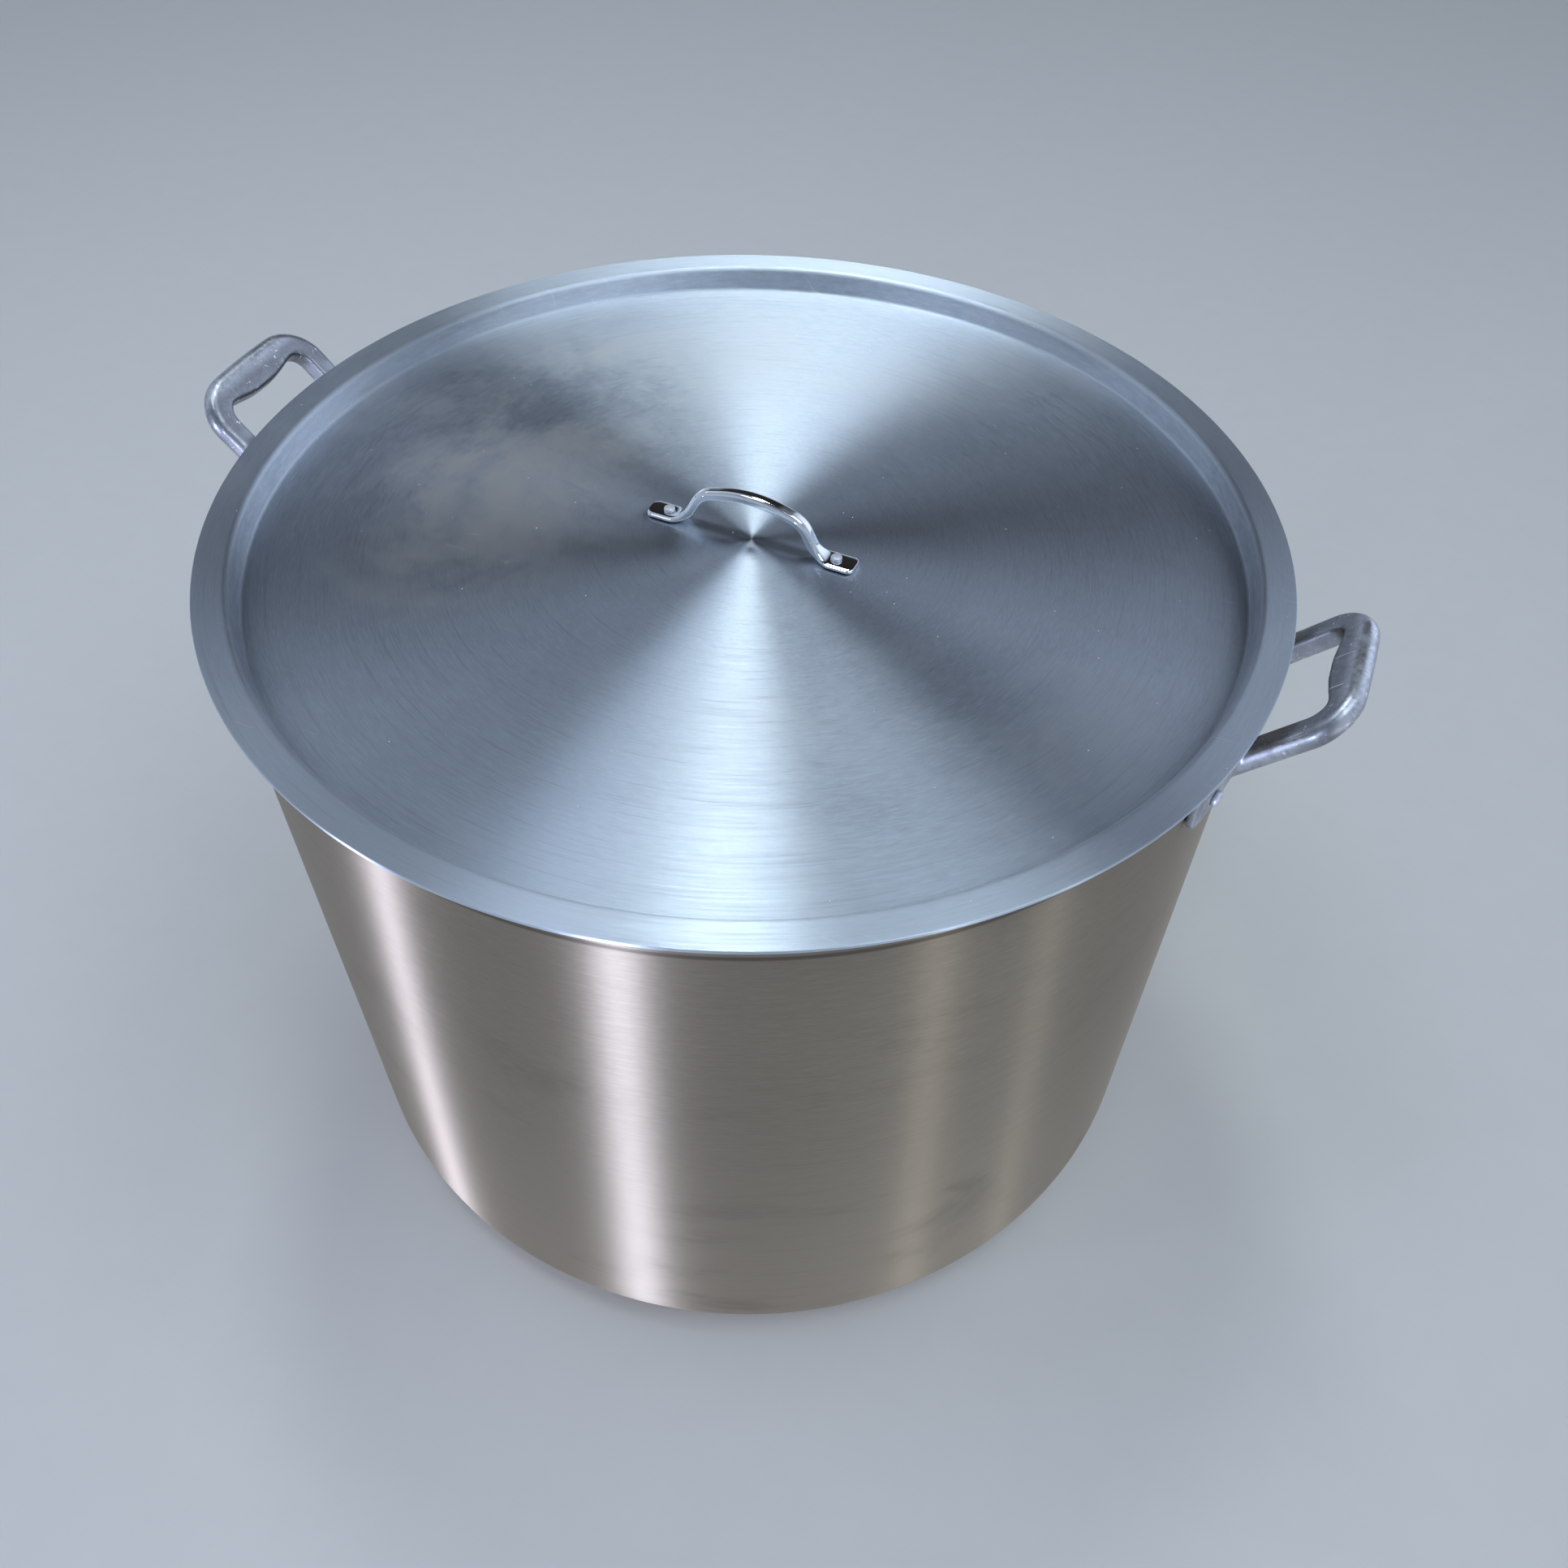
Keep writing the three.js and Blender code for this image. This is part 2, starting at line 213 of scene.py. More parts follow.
class Graph:
    """The nodes of one material or world, and the ways to add to them."""

    def __init__(self, owner, place="Object"):
        owner.use_nodes = True
        self.owner = owner
        self.tree = owner.node_tree
        self.tree.nodes.clear()
        self.place = self.node("ShaderNodeTexCoord", output=place)

    def node(self, kind, inputs=None, output=0, **settings):
        """Adds a node, sets it up, feeds its sockets and gives one output as a Field."""
        made = self.tree.nodes.new(kind)
        for key, value in settings.items():
            setattr(made, key, value)
        for key, value in (inputs or {}).items():
            socket = made.inputs[key]
            if isinstance(value, Field):
                self.tree.links.new(value.socket, socket)
            elif socket.type == "RGBA":
                socket.default_value = (*value, 1)
            else:
                socket.default_value = value
        return Field(self, made.outputs[output])

    def split(self, vector):
        separate = self.node("ShaderNodeSeparateXYZ", {0: vector}).socket.node
        return [Field(self, separate.outputs[axis]) for axis in range(3)]

    def join(self, x, y, z):
        return self.node("ShaderNodeCombineXYZ", {0: x, 1: y, 2: z})

    def noise(self, vector, scale, detail=2, roughness=0.5, distortion=0):
        return self.node(
            "ShaderNodeTexNoise",
            {
                "Vector": vector,
                "Scale": scale,
                "Detail": detail,
                "Roughness": roughness,
                "Distortion": distortion,
            },
        )

    def turned(self, vector, degrees, stretch):
        """The coordinates turned about the vertical and stretched."""
        return self.node(
            "ShaderNodeMapping",
            {"Vector": vector, "Rotation": (0, 0, math.radians(degrees)), "Scale": stretch},
        )

    def mix(self, factor, first, second):
        """A colour between two colours."""
        return self.node(
            "ShaderNodeMix",
            {"Factor": factor, 6: first, 7: second},
            output=2,
            data_type="RGBA",
        )

    def bump(self, height, distance, strength=1.0, normal=None):
        inputs = {"Height": height, "Distance": distance, "Strength": strength}
        if normal:
            inputs["Normal"] = normal
        return self.node("ShaderNodeBump", inputs)

    def metal(self, base, roughness, normal=None, anisotropy=0.0, turn=0.0, purity=1.0):
        """Closes the graph with a metal and gives the finished material."""
        inputs = {
            "Base Color": base,
            "Roughness": roughness,
            "Metallic": purity,
            "Anisotropic": anisotropy,
            "Anisotropic Rotation": turn,
        }
        if normal:
            inputs["Normal"] = normal
        return self.finish(self.node("ShaderNodeBsdfPrincipled", inputs))

    def finish(self, shader, kind="ShaderNodeOutputMaterial"):
        end = self.tree.nodes.new(kind)
        self.tree.links.new(shader.socket, end.inputs["Surface"])
        return self.owner


class Field:
    """One socket of a graph, with the operators that shader maths needs."""

    def __init__(self, graph, socket):
        self.graph = graph
        self.socket = socket

    def math(self, operation, *values):
        return self.graph.node("ShaderNodeMath", dict(enumerate(values)), operation=operation)

    def __add__(self, other):
        return self.math("ADD", self, other)

    def __sub__(self, other):
        return self.math("SUBTRACT", self, other)

    def __rsub__(self, other):
        return self.math("SUBTRACT", other, self)

    def __mul__(self, other):
        return self.math("MULTIPLY", self, other)

    def __truediv__(self, other):
        return self.math("DIVIDE", self, other)

    def __pow__(self, other):
        return self.math("POWER", self, other)

    __radd__ = __add__
    __rmul__ = __mul__

    def absolute(self):
        return self.math("ABSOLUTE", self)

    def at_least(self, other):
        return self.math("MAXIMUM", self, other)

    def between(self, low, high, to_low=0.0, to_high=1.0):
        """The value mapped smoothly from one range to another, and held at its ends."""
        return self.graph.node(
            "ShaderNodeMapRange",
            {"Value": self, "From Min": low, "From Max": high, "To Min": to_low, "To Max": to_high},
            interpolation_type="SMOOTHSTEP",
        )


def new_graph(name):
    return Graph(bpy.data.materials.new(name))


# Mesh work


def rounded_wire(bm, corners, closed=False, segments=6):
    """Joins corners (x, z, radius) by edges in the XZ plane, and rounds those that have a radius."""
    verts = [bm.verts.new((x, 0, z)) for x, z, _ in corners]
    pairs = list(zip(verts, verts[1:]))
    if closed:
        pairs.append((verts[-1], verts[0]))
    for pair in pairs:
        bm.edges.new(pair)
    for vert, (_, _, radius) in zip(verts, corners):
        if radius:
            ways = [edge.other_vert(vert).co - vert.co for edge in vert.link_edges]
            bmesh.ops.bevel(
                bm,
                geom=[vert],
                offset=radius / math.tan(ways[0].angle(ways[1]) / 2),
                offset_type="OFFSET",
                segments=segments,
                profile=0.5,
                affect="VERTICES",
                material=-1,
                clamp_overlap=False,
            )


def turn_wire(bm, steps):
    """Spins the wire about the vertical axis into a closed surface that faces outwards."""
    bmesh.ops.spin(
        bm,
        geom=bm.verts[:] + bm.edges[:],
        cent=(0, 0, 0),
        axis=UP,
        angle=math.tau,
        steps=steps,
        use_merge=True,
        use_duplicate=False,
    )
    bmesh.ops.remove_doubles(bm, verts=bm.verts[:], dist=0.001 * MM)
    bmesh.ops.recalc_face_normals(bm, faces=bm.faces[:])


def draw_bar(bm, moves):
    """Draws the closed wire in bm along a path in the XY plane. It heads along +X at first.

    A move is a straight run (length, 0, steps) or a bend (radius, turn, steps), left turns positive.
    """
    wire = bm.edges[:]
    place, heading = Vector((0, 0, 0)), 0.0
    for size, turn, steps in moves:
        forward = Vector((math.cos(heading), math.sin(heading), 0))
        left = Vector((-forward.y, forward.x, 0))
        if turn:
            centre = place + left * math.copysign(size, turn)
            made = bmesh.ops.spin(
                bm,
                geom=wire,
                cent=centre,
                axis=UP,
                angle=turn,
                steps=steps,
                use_merge=False,
                use_duplicate=False,
            )
            wire = [part for part in made["geom_last"] if isinstance(part, bmesh.types.BMEdge)]
            place = centre + Matrix.Rotation(turn, 3, UP) @ (place - centre)
            heading += turn
            continue
        for _ in range(steps):
            made = bmesh.ops.extrude_edge_only(bm, edges=wire)["geom"]
            wire = [part for part in made if isinstance(part, bmesh.types.BMEdge)]
            verts = [part for part in made if isinstance(part, bmesh.types.BMVert)]
            bmesh.ops.translate(bm, verts=verts, vec=forward * (size / steps))
        place = place + forward * size


def close_ends(bm):
    """Fills every open end of the bar and turns all faces outwards."""
    bmesh.ops.holes_fill(bm, edges=bm.edges[:], sides=0)
    bmesh.ops.recalc_face_normals(bm, faces=bm.faces[:])


def ease(value, start, end):
    """0 before start, 1 after end, and smooth between."""
    t = min(1.0, max(0.0, (value - start) / (end - start)))
    return t * t * (3 - 2 * t)


def add_piece(name, bm, material, body, nodes):
    """Makes the piece that stands for the given nodes, and lets it ride on its body."""
    mesh = bpy.data.meshes.new(name)
    for face in bm.faces:
        face.smooth = True
    bm.to_mesh(mesh)
    bm.free()
    mesh.materials.append(material)
    piece = bpy.data.objects.new(name, mesh)
    bpy.context.scene.collection.objects.link(piece)
    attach(piece, body)
    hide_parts(*nodes)


# Metals


def turning_marks(graph, reach):
    """Fine and broad lines round the vertical axis, as a spinning lathe leaves them, from 0 to 1.

    reach is what the lines vary with: the height on a wall, the radius on a disc.
    """
    x, y, _ = graph.split(graph.place)
    radius = (x * x + y * y + 1e-9) ** 0.5
    fine = graph.noise(graph.join(x / radius * 26, y / radius * 26, reach * 2100), 1, 4, 0.75)
    broad = graph.noise(graph.join(x / radius * 3, y / radius * 3, reach * 700), 1, 4, 0.7)
    return fine, broad


def spun_wall_metal(look):
    """Wall metal: brown-grey, with a painted reflection of the floor lightening its foot, fine level marks,
    faint handling smudges and a painted shadow line under the lid.
    """
    graph = new_graph("spun_wall")
    _, _, height = graph.split(graph.place)
    fine, broad = turning_marks(graph, height)
    smudge = graph.noise(graph.turned(graph.place, 0, (9, 9, 16)), 1, 4, 0.6, 0.6).between(0.52, 0.74)
    # A painted reflection of the floor lightens the wall towards its foot.
    foot = (0.4 - height).between(0.1, 0.42)
    base = Vector(look.wall)
    tone = graph.mix(foot, tuple(base), tuple(base * 1.45))
    tone = graph.mix(smudge * 0.6, tone, tuple(base * 0.72))
    tone = graph.mix(fine.between(0.35, 0.75) * 0.7, tone, tuple(base * 1.35))
    tone = graph.mix(broad.between(0.5, 0.8) * 0.3, tone, tuple(base * 0.8))
    # A painted shadow lies in a thin line round the wall, under the edge of the lid.
    painted_shadow_line = (height - SHADOW_LINE_HEIGHT).absolute().between(0.5 * MM, 2 * MM, 1, 0)
    tone = graph.mix(painted_shadow_line * 0.7, tone, tuple(base * 0.35))
    roughness = look.spun_roughness + (fine - 0.5) * 0.16 + (broad - 0.5) * 0.08
    normal = graph.bump(fine * 0.7 + broad * 0.3, 0.05 * MM, 0.6)
    return graph.metal(tone, roughness, normal, look.spun_direction, 0.25)


def spun_lid_metal(look, turn):
    """Lid metal: slate, with ring marks, cloudy handling smudges, fine scratches and dust specks, a painted
    shadow under the pull and painted light on the flange.
    """
    graph = new_graph("spun_lid")
    x, y, _ = graph.split(graph.place)
    reach = (x * x + y * y) ** 0.5
    fine, broad = turning_marks(graph, reach)
    cloud = graph.noise(graph.place, 11, 8, 0.7, 0.35)
    spread = graph.noise(graph.turned(graph.place, 30, (3.2, 5, 5)), 1, 1).between(0.42, 0.62)
    # The handling smudges gather left of the pull, half way out.
    left = (0 - x - (y - 0.02).absolute() * 0.5).between(0.0, 0.08)
    ring = (reach - SMUDGE_REACH).absolute().between(0.03, 0.09, 1, 0)
    smudge = cloud.between(0.36, 0.7) * (spread * 0.35 + left * ring * 0.8)
    wipes = graph.noise(graph.turned(graph.place, -25, (30, 85, 40)), 1, 6, 0.75, 0.8).between(0.56, 0.74)
    wipes = wipes * left * (reach - WIPE_REACH).absolute().between(0.02, 0.06, 1, 0)
    scratch = scratches(graph, (24, -64, 75), 0.63) * reach.between(0.2, 0.25, 0.25, 1)
    specks = graph.node("ShaderNodeTexVoronoi", {"Vector": graph.place, "Scale": 85.0})
    specks = specks.between(0.02, 0.032, 1, 0)
    # A painted shadow of the pull lies in a dark line under its arch, from foot to foot.
    off_line, _, _ = graph.split(graph.turned(graph.place, 90 - math.degrees(turn), (1, 1, 1)))
    painted_pull_shadow = off_line.absolute().between(1 * MM, 6 * MM, 1, 0) * reach.between(0.028, 0.04, 1, 0)
    # Painted light: the flange is painted lighter than the panel.
    flange = reach.between(FLANGE_REACH, FLANGE_REACH + 5 * MM)
    base = Vector(look.lid)
    tone = graph.mix(cloud.between(0.3, 0.7), tuple(base * 0.92), tuple(base * 1.08))
    tone = graph.mix(fine.between(0.35, 0.75) * 0.8, tone, tuple(base * 1.25))
    tone = graph.mix(broad.between(0.5, 0.8) * 0.7, tone, tuple(base * 0.75))
    tone = graph.mix(flange * 0.35, tone, tuple(base * 1.4))
    tone = graph.mix(smudge, tone, tuple(look.smudge))
    tone = graph.mix(painted_pull_shadow * 0.8, tone, tuple(base * 0.25))
    tone = graph.mix((wipes * 0.5).at_least(scratch * 0.6), tone, (0.8, 0.84, 0.88))
    tone = graph.mix(specks, tone, (0.95, 0.97, 1.0))
    dullness = (smudge * 0.18).at_least(wipes * 0.3).at_least(specks)
    roughness = (
        look.spun_roughness
        + (fine - 0.5) * 0.18
        + (broad - 0.5) * 0.16
        + smudge * 0.1
        + dullness * 0.2
    )
    normal = graph.bump(fine * 0.75 + broad * 0.25, 0.05 * MM, 0.6)
    return graph.metal(tone, roughness, normal, look.spun_direction, 0.25, 1 - dullness)


def scratches(graph, turns, threshold):
    """Short straight scratches in the given directions, from 0 to 1. A high threshold leaves few."""
    total = None
    for number, degrees in enumerate(turns):
        lines = graph.noise(graph.turned(graph.place, degrees, (16, 900, 16)), 1 + number * 0.1, 1)
        patch = graph.noise(graph.turned(graph.place, degrees, (45, 90, 45)), 1 + number * 0.2, 0)
        lines = lines.between(threshold + 0.06, threshold + 0.12)
        found = lines * patch.between(threshold, threshold + 0.05)
        total = found if total is None else total.at_least(found)
    return total


def cast_metal(look):
    """Handle metal: cast and tumbled, semi-bright, with soft dents, dull patches, bright nicks, a painted
    highlight on the outer half of the grips and painted shade on the inner half.
    """
    graph = new_graph("cast_handle")
    patch = graph.noise(graph.place, 60, 5, 0.65, 0.8).between(0.38, 0.66)
    mottle = graph.noise(graph.place, 420, 3, 0.6).between(0.4, 0.65)
    grain = graph.noise(graph.place, 1100, 3, 0.6)
    dents = graph.noise(graph.place, 190, 2, 0.5)
    nicks = scratches(graph, (15, -50, 80), 0.62)
    nicks = nicks.at_least(graph.noise(graph.place, 330, 1, 0.5, 1.5).between(0.71, 0.75))
    # A painted highlight lightens the outer half of the grips; painted shade darkens the inner half, higher
    # up.
    x, _, height = graph.split(graph.place)
    across = x.absolute() + (height - POT_HIGH.z) * 0.4
    painted_grip_highlight = across.between(GRIP_MIDDLE, GRIP_MIDDLE + 7 * MM)
    base = Vector(look.cast)
    tone = graph.mix(patch, tuple(base * 1.12), tuple(base * 0.74))
    tone = graph.mix(painted_grip_highlight * 0.6, tone, tuple(base * 1.4))
    painted_grip_shade = (1 - painted_grip_highlight) * height.between(POT_HIGH.z - 15 * MM, POT_HIGH.z + 5 * MM)
    tone = graph.mix(painted_grip_shade * 0.8, tone, tuple(base * 0.4))
    tone = graph.mix(mottle * 0.5, tone, tuple(base * 0.7))
    tone = graph.mix(nicks * 0.9, tone, (0.92, 0.94, 0.97))
    roughness = 0.34 + patch * 0.12 + (grain - 0.5) * 0.2 - nicks * 0.08
    normal = graph.bump(grain, 0.05 * MM, 0.6, graph.bump(dents, 0.3 * MM, 0.6))
    return graph.metal(tone, roughness, normal)


def rivet_metal(look):
    """Rivet metal: dull, with hammer and tumbling marks."""
    graph = new_graph("rivet")
    patch = graph.noise(graph.place, 500, 3, 0.6).between(0.38, 0.66)
    base = Vector(look.rivet)
    tone = graph.mix(patch, tuple(base), tuple(base * 0.8))
    dents = graph.bump(graph.noise(graph.place, 700, 2), 0.2 * MM, 0.7)
    normal = graph.bump(graph.noise(graph.place, 1800, 2), 0.04 * MM, 0.5, dents)
    return graph.metal(tone, 0.48 + patch * 0.16, normal)


def chrome_metal(look):
    """Pull metal: bright plating with the faint haze of fingers."""
    graph = new_graph("chrome_pull")
    haze = graph.noise(graph.place, 160, 4, 0.65, 0.6).between(0.5, 0.72)
    base = Vector(look.chrome)
    tone = graph.mix(haze, tuple(base), tuple(base * 0.9))
    return graph.metal(tone, 0.045 + haze * 0.07)


# Pieces


class PieceOperator:
    """What every operator here shares: its options, and the test that a scene is open."""

    bl_options = {"REGISTER", "UNDO"}

    @classmethod
    def poll(cls, context):
        return context.scene is not None


class COOKWARE_OT_stage(PieceOperator, bpy.types.Operator):
    """Lay the floor, hang the lights and set up the camera"""

    bl_idname = "cookware.stage"
    bl_label = "Stage"

    def execute(self, context):
        stage = context.scene.pot_stage
        self.lay_floor(stage)
        self.set_room(context.scene, stage)
        self.hang_lights()
        self.set_camera(context.scene, stage)
        return {"FINISHED"}

    @staticmethod
    def lay_floor(stage):
        bm = bmesh.new()
        bmesh.ops.create_circle(bm, cap_ends=True, radius=stage.floor_radius, segments=96)
        mesh = bpy.data.meshes.new("floor")
        bm.to_mesh(mesh)
        bm.free()
        graph = new_graph("floor")
        speckle = graph.noise(graph.place, 30, 4, 0.6)
        base = Vector(stage.floor)
        tone = graph.mix(speckle, tuple(base * 0.97), tuple(base * 1.02))
        matt = {"Base Color": tone, "Roughness": 0.75}
        mesh.materials.append(graph.finish(graph.node("ShaderNodeBsdfPrincipled", matt)))
        floor = bpy.data.objects.new("floor", mesh)
        bpy.context.scene.collection.objects.link(floor)

    @staticmethod
    def set_room(scene, stage):
        """A soft pale room, with a dark band high at the back and a window to the right of it."""
        world = bpy.data.worlds.new("room")
        graph = Graph(world, "Generated")
        x, y, height = graph.split(graph.place)
        beside = (x + 0.33).absolute().between(0.32, 0.52)
        above = (1 - height).between(0.6, 0.85)
        ahead = (0 - y).between(0.0, 0.35)
        open_sky = beside.at_least(above).at_least(ahead)
        tone = graph.mix(open_sky, tuple(stage.shade), tuple(stage.light))
        window = x.between(-0.05, 0.45) * y.between(0.3, 0.7)
        strength = stage.room * (1 - height.between(0.35, 0.95) * 0.55) * (1 + window * 1.3)
        background = graph.node("ShaderNodeBackground", {"Color": tone, "Strength": strength})
        scene.world = graph.finish(background, "ShaderNodeOutputWorld")

    def hang_lights(self):
        """Softboxes over the lid, and strips so low that they light only the wall."""
        sky = (0.72, 0.84, 1.0)
        cool = (0.9, 0.95, 0.95)
        self.hang("softbox_over", 120, 70, away=2.4, wide=0.34, high=0.6, power=9, tint=(0.84, 0.95, 1.0))
        self.hang("softbox_side", -155, 72, away=2.4, wide=0.6, high=0.6, power=5.6, tint=sky)
        self.hang("softbox_right", -12, 64, away=2.4, wide=1.5, high=1.4, power=13.5, tint=(0.78, 0.90, 1.0))
        self.hang("softbox_left", 170, 52, away=2.4, wide=1.6, high=1.4, power=4, tint=sky)
        self.hang("strip_front", -90, 0, away=2.2, wide=0.22, high=0.34, power=19, tint=(0.66, 0.74, 1.0))
        self.hang("strip_left", -135, 0, away=2.2, wide=0.10, high=0.34, power=14, tint=(0.68, 0.74, 1.0))
        self.hang("strip_right", -34, 0, away=2.4, wide=0.10, high=0.34, power=2.1, tint=cool)
        self.hang("strip_far_right", -12, 0, away=2.4, wide=0.10, high=0.34, power=1.3, tint=cool)

    @staticmethod
    def hang(name, azimuth, elevation, away, wide, high, power, tint):
        """An area light that faces the middle of the pot, from the given turn and slope in degrees."""
        data = bpy.data.lights.new(name, "AREA")
        data.shape = "RECTANGLE"
        data.size = wide
        data.size_y = high
        data.energy = power
        data.color = tint
        turn, slope = math.radians(azimuth), math.radians(elevation)
        way = Vector((math.cos(turn) * math.cos(slope), math.sin(turn) * math.cos(slope), math.sin(slope)))
        light = bpy.data.objects.new(name, data)
        light.location = Vector((0, 0, POT_HIGH.z / 2)) + way * away
        light.rotation_euler = way.to_track_quat("Z", "Y").to_euler()
        bpy.context.scene.collection.objects.link(light)

    @staticmethod
    def set_camera(scene, stage):
        """The camera, turned, dipped and rolled, and plain tones with no film curve."""
        data = bpy.data.cameras.new("camera")
        data.lens = stage.lens
        data.sensor_width = SENSOR_WIDTH
        data.shift_x, data.shift_y = stage.shift
        data.clip_start = 10 * MM
        camera = bpy.data.objects.new("camera", data)
        level = Matrix.Rotation(stage.azimuth, 4, "Z")
        dip = Matrix.Rotation(math.pi / 2 - stage.elevation, 4, "X")
        roll = Matrix.Rotation(stage.roll, 4, "Z")
        camera.matrix_world = Matrix.Translation(stage.place) @ level @ dip @ roll
        scene.collection.objects.link(camera)
        scene.camera = camera
        scene.view_settings.view_transform = "Standard"


class COOKWARE_OT_pot(PieceOperator, bpy.types.Operator):
    """Spin the pot: flat base, rounded corner, straight wall and plain rim"""

    bl_idname = "cookware.pot"
    bl_label = "Pot"

    def execute(self, context):
        size = context.scene.pot_sizes
        outside, rim = POT_HIGH.x, POT_HIGH.z
        inside = outside - size.wall
        corner = size.base_corner
        edge = size.rim_round
        bm = bmesh.new()
        rounded_wire(
            bm,
            [
                (0, 0, 0),
                (outside - corner - 6 * MM, 0, 0),
                (outside, 0, corner),
                (outside, corner + 6 * MM, 0),
                (outside, rim - 4 * edge, 0),
                (outside, rim, edge),
                (inside, rim, edge),
                (inside, rim - 4 * edge, 0),
                (inside, corner + 6 * MM, 0),
                (inside, size.base, corner - size.wall),
                (outside - corner - 6 * MM, size.base, 0),
                (0, size.base, 0),
            ],
            segments=12,
        )
        turn_wire(bm, size.steps)
        metal = spun_wall_metal(context.scene.pot_finishes)
        add_piece("spun_pot", bm, metal, "pot", ["pot_body"])
        return {"FINISHED"}


class COOKWARE_OT_lid(PieceOperator, bpy.types.Operator):
    """Spin the lid: flange on the rim, step into the mouth and flat panel"""

    bl_idname = "cookware.lid"
    bl_label = "Lid"

    def execute(self, context):
        size = context.scene.lid_sizes
        top, outer = LID_HIGH.z, LID_HIGH.x
        panel = top - size.recess
        shoulder = POT_HIGH.x - context.scene.pot_sizes.wall - size.shoulder_inset
        half = math.tan(size.slope / 2)
        crest = shoulder - size.shoulder_bend * half  # corner between the flange and the step
        toe = crest - size.recess / math.tan(size.slope)
        under = size.sheet * half
        edge = size.edge_round
        near = 3 * MM
        bm = bmesh.new()
        rounded_wire(
            bm,
            [
                (0, panel - size.sheet, 0),
                (toe - 4 * near, panel - size.sheet, 0),
                (toe + under, panel - size.sheet, size.panel_bend + size.sheet),
                (crest + under, top - size.sheet, size.shoulder_bend - size.sheet),
                (crest + 2 * near, top - size.sheet, 0),
                (outer, top - size.sheet, edge),
                (outer, top, edge),
                (outer - near, top, 0),
                (shoulder + near / 3, top, 0),
                (crest, top, size.shoulder_bend),
                (toe, panel, size.panel_bend),
                (toe - 4 * near, panel, 0),
                (0, panel, 0),
            ],
            segments=8,
        )
        turn_wire(bm, context.scene.pot_sizes.steps)
        metal = spun_lid_metal(context.scene.pot_finishes, size.turn)
        add_piece("spun_lid", bm, metal, "lid", ["lid_pan"])
        return {"FINISHED"}


